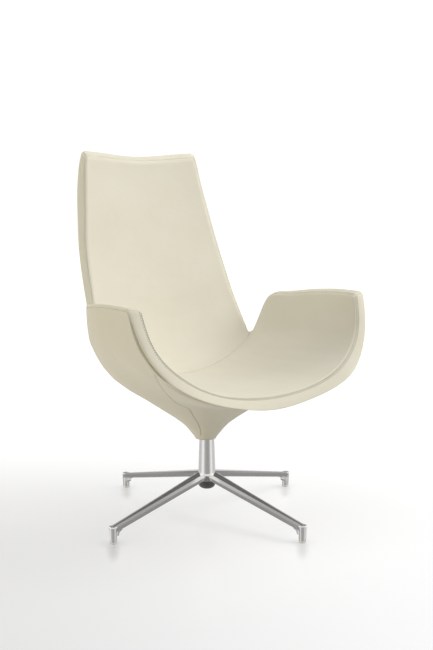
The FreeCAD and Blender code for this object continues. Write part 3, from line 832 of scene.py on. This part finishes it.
def stitches(name, rows, s0, s1, pitch=.0068, length=.0042, r=.00062, thread=None):
    """Short thread stitches along the facing, each a small closed capsule."""
    x = np.r_[S, 62.]
    l0, l1 = np.interp(s0, x, R_LEN), np.interp(s1 if s1 <= 62 else s1 - 62, x, R_LEN)
    if s1 > 62:
        l1 += R_LEN[-1]
    verts, faces = [], []
    for a in rows:
        c = np.arange(l0 + .004, l1 - .004, pitch)
        ends = []
        for off in (-length / 2, -length / 4, length / 4, length / 2):
            s = np.interp(np.mod(c + off, R_LEN[-1]), R_LEN, x)
            lift_ = r * (.9 if abs(off) < length / 3 else -.6)
            b = (crown(a + 0 * s, .04) if a > SEAM_A else 0 * s + .0006) + lift_
            ends.append((facing(s, a + 0 * s, b), at(R_F, s), at(R_N, s)))
        for i in range(len(c)):
            base = len(verts)
            for p, f, n in ends:
                for k in range(5):
                    t = 2 * math.pi * k / 5
                    verts.append(p[i] + f[i] * r * math.cos(t) + n[i] * r * math.sin(t))
            for g in range(3):
                for k in range(5):
                    m_ = (k + 1) % 5
                    faces.append([base + g * 5 + k, base + g * 5 + m_, base + g * 5 + 5 + m_, base + g * 5 + 5 + k])
            faces.append([base + k for k in range(4, -1, -1)])
            faces.append([base + 15 + k for k in range(5)])
    return make(name, verts, faces, thread or THREAD)


skin = outside_skin()
NU = ((84, 150))
seat_top = panel("seat_leather", U_FRONT, SEAM_U - .0012, NU[0], 181, "seat_pad")
back_top = panel("back_leather", SEAM_U + .0012, 15 - U_TOP, NU[1], 91, "back_pad")
BS = .0045
facing_band("facing_front", 54., 70., BS)
facing_band("facing_right", 8., 23., BS)
facing_band("facing_top", 23., 39., BS)
facing_band("facing_left", 39., 54., BS)
stitches("topstitch_front", (.0052, .0116), 54., 70.)
stitches("topstitch_right", (.0050, .0110), 8., 23., thread=THREAD_PALE)
stitches("topstitch_left", (.0050, .0110), 39., 54., thread=THREAD_PALE)

GUSSET = [(-.3272, -.2730, .4911), (-.3126, -.2573, .4697), (-.2932, -.2384, .4495), (-.2537, -.2005, .4181), (-.2186, -.1664, .3937),
          (-.1950, -.1472, .3781), (-.1704, -.1370, .3644), (-.1485, -.1318, .3545), (-.1244, -.1109, .3383), (-.1015, -.0871, .3186),
          (-.0703, -.0593, .2905), (-.0496, -.0391, .2682), (-.0401, -.0296, .2546), (-.0349, -.0224, .2437), (-.0318, -.0160, .2330)]


def welt(name, points, tree, r=.0013, sunk=.0008):
    """A fine sewn seam laid on the skin: a thin closed cord, mostly sunk, with tapered ends; its dark leather is
    painted shade for the seam's groove.
    """
    p = np.array(points)
    for _ in range(3):
        d = np.r_[0, np.cumsum(np.linalg.norm(np.diff(p, axis=0), axis=1))]
        p = np.stack([cubic_table(d, p[:, c], np.linspace(0, d[-1], 160)) for c in range(3)], 1) if len(p) < 40 else p
        p[1:-1] = .25 * p[:-2] + .5 * p[1:-1] + .25 * p[2:]
    hit = [tree.find_nearest(Vector(q)) for q in p]
    c = np.array([h[0] for h in hit])
    n = unit(wrap_smooth(np.array([h[1] for h in hit]), 2))
    t = unit(np.gradient(c, axis=0))
    b = unit(np.cross(t, n))
    ends = np.minimum(np.arange(len(c)), np.arange(len(c))[::-1])
    rr = r * smooth((ends + 1) / 4.)[:, None]
    c = c - n * sunk
    m = 8
    verts = np.stack([c + rr * (b * math.cos(2 * math.pi * k / m) + n * math.sin(2 * math.pi * k / m)) for k in range(m)], 1)
    faces = []
    for i in range(len(c) - 1):
        for k in range(m):
            faces.append([i * m + k, i * m + (k + 1) % m, (i + 1) * m + (k + 1) % m, (i + 1) * m + k])
    faces.append(list(range(m))[::-1])
    faces.append([(len(c) - 1) * m + k for k in range(m)])
    return make(name, verts.reshape(-1, 3), faces, WELT_SHADE)


def knot(name, s, a, r=.0034):
    """The little gathered button of leather at each top corner: a flattened ball with a dimple and a rolled rim."""
    c = facing(np.array([s]), np.array([a]), np.array([.0016]))[0]
    n, f = at(R_N, np.array([s]))[0], at(R_F, np.array([s]))[0]
    f = unit(f - n * (f @ n))
    g = np.cross(n, f)
    ring = ((.0, -.0008), (.35, -.0007), (.60, .0005), (.82, .0010), (1.0, .0006), (1.14, -.0006), (1.16, -.0022), (.6, -.0034))
    verts, m = [c + n * ring[0][1]], 20
    for rad, h in ring[1:]:
        for k in range(m):
            t = 2 * math.pi * k / m
            verts.append(c + r * rad * (f * math.cos(t) + g * math.sin(t)) + n * h)
    faces = [[0, 1 + k, 1 + (k + 1) % m] for k in range(m)]
    for i in range(len(ring) - 2):
        for k in range(m):
            a_, b_ = 1 + i * m + k, 1 + i * m + (k + 1) % m
            faces.append([a_, a_ + m, b_ + m, b_])
    faces.append([1 + (len(ring) - 2) * m + k for k in range(m)])
    return make(name, verts, faces, CREAM_BAND)


TREE = BVHTree.FromPolygons([v.co.copy() for v in skin.data.vertices], [tuple(f.vertices) for f in skin.data.polygons])
welt("gusset_seam_left", GUSSET, TREE)
welt("gusset_seam_right", [(-x, y, z) for x, y, z in GUSSET], TREE)
knot("corner_knot_left", 39.22, .0150)
knot("corner_knot_right", 22.78, .0150)

# ---------------------------------------------------------------- finishes of the CAD nodes
# painted shade darkens this casting's colour round the hub boss
ALU = plain("aluminium_polished_painted_hub_shade", (.60, .61, .63), metal=1., rough=.11, scale=40., vary=.05, bump=.03, distance=.0003, edge=.0020, painted_hub_shade=True)
COL = plain("aluminium_turned", (.84, .835, .825), metal=1., rough=.14, scale=120., vary=.05, bump=.04, stretch=(1, 1, .04), distance=.0003)
GLIDE = plain("glide_clear", (.78, .78, .77), rough=.25, scale=200., vary=.03)
CAP = plain("cap_dark", (.045, .045, .048), rough=.35, scale=200., vary=.15)
FINISH = {
    "polished_aluminium": ALU, "column_aluminium": COL, "clear_glide": GLIDE, "dark_cap": CAP,
    "zinc_steel": plain("steel_zinc", (.62, .63, .64), metal=1., rough=.35, scale=300., vary=.08),
    "bearing_steel": plain("steel_bearing", (.70, .70, .71), metal=1., rough=.12, scale=300., vary=.03),
    "black_steel": plain("steel_black", (.035, .035, .037), metal=.4, rough=.45, scale=300., vary=.2),
    "bush_polymer": plain("polymer_bush", (.72, .71, .66), rough=.45, scale=300., vary=.04),
    "shell_moulding": plain("shell_board", (.30, .24, .17), rough=.6, scale=60., vary=.15),
    "insert_brass": plain("brass_insert", (.72, .55, .26), metal=1., rough=.3, scale=300., vary=.06),
    "spacer_rubber": plain("rubber_spacer", (.03, .03, .03), rough=.75, scale=300., vary=.2),
    "neck_trim": plain("trim_neck", (.40, .38, .32), rough=.5, scale=300., vary=.06),
    "cream_leather": CREAM, "cream_leather_outer": CREAM_OUT_SHADED,
}
for m in frame["record"].get("materials", []):
    for n in m.get("nodes", []):
        if n in frame["nodes"] and m.get("slot") in FINISH:
            d_ = frame["nodes"][n].data
            d_.materials.clear()
            d_.materials.append(FINISH[m["slot"]])

# ---------------------------------------------------------------- stage, light, camera
def plane(name, verts, mat):
    mesh = bpy.data.meshes.new(name)
    mesh.from_pydata(verts, [], [list(range(len(verts)))])
    mesh.materials.append(mat)
    o = bpy.data.objects.new(name, mesh)
    bpy.context.scene.collection.objects.link(o)
    return o


def floor_material(name, albedo, glow, dark, rough, spec, tint=(1, 1, 1), far=0.):
    """White floor paper, in the photographer's frame: part of its brightness is an even glow, with painted shade over a
    broad patch at the front left, a painted dark reflection and a painted contact shadow under each foot, and painted
    light rising with distance."""
    m, nt, sh = nodes_of(name)
    sh.inputs["Base Color"].default_value = (albedo, albedo, albedo, 1)
    sh.inputs["Roughness"].default_value = rough
    sh.inputs["Specular IOR Level"].default_value = spec
    co = add(nt, "ShaderNodeTexCoord")

    def spot(centre, size, r0, r1, v0, v1, turned=0.):
        off = add(nt, "ShaderNodeMapping", vector_type="TEXTURE", **{"Location": centre, "Rotation": (0, 0, turned), "Scale": size})
        nt.links.new(co.outputs["Object"], off.inputs["Vector"])
        g = add(nt, "ShaderNodeVectorMath", operation="LENGTH")
        nt.links.new(off.outputs["Vector"], g.inputs[0])
        ramp = add(nt, "ShaderNodeMapRange", interpolation_type="SMOOTHERSTEP", **{"From Min": r0, "From Max": r1, "To Min": v0, "To Max": v1})
        nt.links.new(g.outputs["Value"], ramp.inputs["Value"])
        return ramp.outputs["Result"]
    # painted shade: the glow is dimmed by dark over a broad patch at the front left
    total = spot((-.75, -.95, 0), (1, 1, 1), 0., 1.6, glow - dark, glow)
    # painted light: the glow rises by far between 2.45 and 5 m from the camera's foot point
    more = [spot((0, -2.76, 0), (1, 1, 1), 2.45, 5.0, 0., far)] if far else []
    if dark:
        for k in range(4):
            t = math.radians(45.69 + 90 * k)
            fx, fy = .355 * math.cos(t), .355 * math.sin(t)
            a = math.atan2(-fx, 2.76 + fy)
            # painted reflection: a dark streak under each foot, leading from it toward the camera
            more.append(spot((fx + .050 * math.sin(a), fy - .050 * math.cos(a), 0), (.026, .115, 1), 0., 1., -.20, 0., a))
            # painted contact shadow round each foot
            more.append(spot((fx, fy, 0), (1, 1, 1), .010, .055, -.06, 0.))
    for other in more:
        s_ = add(nt, "ShaderNodeMath", operation="ADD")
        nt.links.new(total, s_.inputs[0])
        nt.links.new(other, s_.inputs[1])
        total = s_.outputs[0]
    sh.inputs["Emission Color"].default_value = (*tint, 1)
    nt.links.new(total, sh.inputs["Emission Strength"])
    return m


TH = math.radians(33)


def w2r(x, y, z):
    """From the photographer's frame (x right, y away, z up) to the row frame."""
    c, s_ = math.cos(TH), math.sin(TH)
    return Vector((x * c + y * s_, -x * s_ + y * c, z))


R = 14.
ROUND = [(R * math.cos(2 * math.pi * k / 64), R * math.sin(2 * math.pi * k / 64)) for k in range(64)]
shown = plane("stage_floor", [(x, y, -.0002) for x, y in ROUND], floor_material("floor_painted_light_and_shade", .34, .655, .16, .3, .1, far=.33))
under = plane("stage_floor_bounce", [(x, y, -.0006) for x, y in ROUND], floor_material("floor_bounce", .80, .335, .0, .6, .1, tint=(1, .965, .86)))
for o_ in (shown, under):
    o_.rotation_euler = (0, 0, -TH)
for flag in ("visible_diffuse", "visible_glossy"):
    setattr(shown, flag, False)
for flag in ("visible_camera", "visible_glossy", "visible_shadow"):
    setattr(under, flag, False)


def emitter(name, strength):
    m = bpy.data.materials.new(name)
    m.use_nodes = True
    nt = m.node_tree
    nt.nodes.clear()
    out, em = nt.nodes.new("ShaderNodeOutputMaterial"), nt.nodes.new("ShaderNodeEmission")
    em.inputs["Color"].default_value = (1, 1, 1, 1)
    em.inputs["Strength"].default_value = strength
    nt.links.new(em.outputs[0], out.inputs[0])
    return m


def dome():
    """A plain white surround that only shows behind the object: it lights nothing."""
    verts, faces, n, m_ = [], [], 48, 12
    for j in range(m_ + 1):
        e = math.pi / 2 * j / m_
        for k in range(n):
            a_ = 2 * math.pi * k / n
            verts.append((13.8 * math.cos(e) * math.cos(a_), 13.8 * math.cos(e) * math.sin(a_), 13.8 * math.sin(e) - .0004))
    for j in range(m_):
        for k in range(n):
            faces.append((j * n + k, j * n + (k + 1) % n, (j + 1) * n + (k + 1) % n, (j + 1) * n + k))
    mesh = bpy.data.meshes.new("stage_surround")
    mesh.from_pydata(verts, [], faces)
    mesh.materials.append(emitter("surround_white", 1.05))
    o = bpy.data.objects.new("stage_surround", mesh)
    bpy.context.scene.collection.objects.link(o)
    for flag in ("visible_diffuse", "visible_glossy", "visible_transmission", "visible_shadow", "visible_volume_scatter"):
        setattr(o, flag, False)


dome()


def mirror_room():
    """What polished metal sees: a studio round the object as a smooth function of direction, seen by reflections alone."""
    verts, faces, n, m_ = [], [], 48, 24
    for j in range(m_ + 1):
        e = math.pi * (j / m_ - .5)
        for k in range(n):
            a_ = 2 * math.pi * k / n
            verts.append((13 * math.cos(e) * math.cos(a_), 13 * math.cos(e) * math.sin(a_), 13 * math.sin(e)))
    for j in range(m_):
        for k in range(n):
            faces.append((j * n + k, j * n + (k + 1) % n, (j + 1) * n + (k + 1) % n, (j + 1) * n + k))
    m = bpy.data.materials.new("room_seen_in_metal")
    m.use_nodes = True
    nt = m.node_tree
    nt.nodes.clear()
    out, em = nt.nodes.new("ShaderNodeOutputMaterial"), nt.nodes.new("ShaderNodeEmission")
    nt.links.new(em.outputs[0], out.inputs[0])
    co = add(nt, "ShaderNodeTexCoord")
    nrm = add(nt, "ShaderNodeVectorMath", operation="NORMALIZE")
    nt.links.new(co.outputs["Object"], nrm.inputs[0])
    xyz = add(nt, "ShaderNodeSeparateXYZ")
    nt.links.new(nrm.outputs["Vector"], xyz.inputs[0])

    def math_(op, a, b=None):
        k = add(nt, "ShaderNodeMath", operation=op)
        for i, v in enumerate((a, b)):
            if v is None:
                continue
            if isinstance(v, (int, float)):
                k.inputs[i].default_value = v
            else:
                nt.links.new(v, k.inputs[i])
        return k.outputs[0]

    def table(value, stops):
        """Piecewise linear (place 0..1, brightness 0..2)."""
        r = add(nt, "ShaderNodeValToRGB")
        els = r.color_ramp.elements
        while len(els) < len(stops):
            els.new(.5)
        for el, (x, v) in zip(els, stops):
            el.position, el.color = x, (v / 2, v / 2, v / 2, 1)
        nt.links.new(value, r.inputs["Fac"])
        return math_("MULTIPLY", r.outputs["Color"], 2.)
    turn = math_("ADD", math_("DIVIDE", math_("ARCTAN2", xyz.outputs["X"], math_("MULTIPLY", xyz.outputs["Y"], -1.)), 2 * math.pi), .5)
    z = math_("ADD", math_("MULTIPLY", xyz.outputs["Z"], .5), .5)
    near = table(turn, [(d / 360 + .5, v) for d, v in ROOM_NEAR])
    deep = table(turn, [(d / 360 + .5, v) for d, v in ROOM_DEEP])
    back = table(z, [(v / 2 + .5, b) for v, b in ROOM_BACK])
    front = table(z, [(v / 2 + .5, b) for v, b in ROOM_FRONT])

    def blend(f, a, b):
        k = add(nt, "ShaderNodeMix", data_type="FLOAT")
        nt.links.new(f, k.inputs[0])
        nt.links.new(a, k.inputs[2])
        nt.links.new(b, k.inputs[3])
        return k.outputs[0]

    def step_(v, a, b):
        k = add(nt, "ShaderNodeMapRange", interpolation_type="SMOOTHSTEP", **{"From Min": a, "From Max": b, "To Min": 0., "To Max": 1.})
        nt.links.new(v, k.inputs["Value"])
        return k.outputs["Result"]
    low = blend(step_(xyz.outputs["Z"], -.36, -.27), deep, near)
    high = blend(step_(xyz.outputs["Y"], -.25, .25), front, back)
    side = math_("ABSOLUTE", xyz.outputs["X"])
    glow = add(nt, "ShaderNodeValue")
    glow.outputs[0].default_value = 1.7
    high = blend(step_(side, .45, .72), high, glow.outputs[0])
    nt.links.new(blend(step_(xyz.outputs["Z"], -.02, .05), low, high), em.inputs["Strength"])
    mesh = bpy.data.meshes.new("stage_room")
    mesh.from_pydata(verts, [], faces)
    mesh.materials.append(m)
    o = bpy.data.objects.new("stage_room", mesh)
    bpy.context.scene.collection.objects.link(o)
    o.rotation_euler = (0, 0, -TH)
    for flag in ("visible_camera", "visible_diffuse", "visible_transmission", "visible_shadow", "visible_volume_scatter"):
        setattr(o, flag, False)


mirror_room()
world = bpy.data.worlds.new("studio")
bpy.context.scene.world = world
world.use_nodes = True
bg = world.node_tree.nodes["Background"]
bg.inputs["Color"].default_value = (1, 1, 1, 1)
bg.inputs["Strength"].default_value = WORLD

def area(name, at_w, target_w, size, power, colour=(1, 1, 1)):
    l = bpy.data.lights.new(name, "AREA")
    l.shape, l.size, l.size_y, l.energy, l.color = "RECTANGLE", size[0], size[1], power, colour
    o = bpy.data.objects.new(name, l)
    bpy.context.scene.collection.objects.link(o)
    p, t = w2r(*at_w), w2r(*target_w)
    o.location = p
    o.rotation_mode = "QUATERNION"
    o.rotation_quaternion = (t - p).to_track_quat("-Z", "Y")
    o.visible_glossy = False
    return o


for light in LIGHTS:
    area(*light)

cam = bpy.data.cameras.new("camera")
cam.lens, cam.sensor_width, cam.sensor_fit = 54.51, 36., "AUTO"
cam_o = bpy.data.objects.new("camera", cam)
bpy.context.scene.collection.objects.link(cam_o)
cam_o.location = (-1.505, -2.318, .928)
pitch = math.radians(7.775)
look = Vector((.5530 * math.cos(pitch), .8332 * math.cos(pitch), -math.sin(pitch)))
cam_o.rotation_mode = "QUATERNION"
cam_o.rotation_quaternion = look.to_track_quat("-Z", "Y")
bpy.context.scene.camera = cam_o
bpy.context.scene.view_settings.view_transform = "Standard"

# the polished legs mirror the room and not the seat above them, as in a retouched studio picture
for o in bpy.context.scene.objects:
    if o.type == "MESH" and o.name not in ("stage_room", "stage_dome") and not o.name.startswith("stage") and o.bound_box:
        if min((o.matrix_world @ Vector(c)).z for c in o.bound_box) > .215:
            o.visible_glossy = False
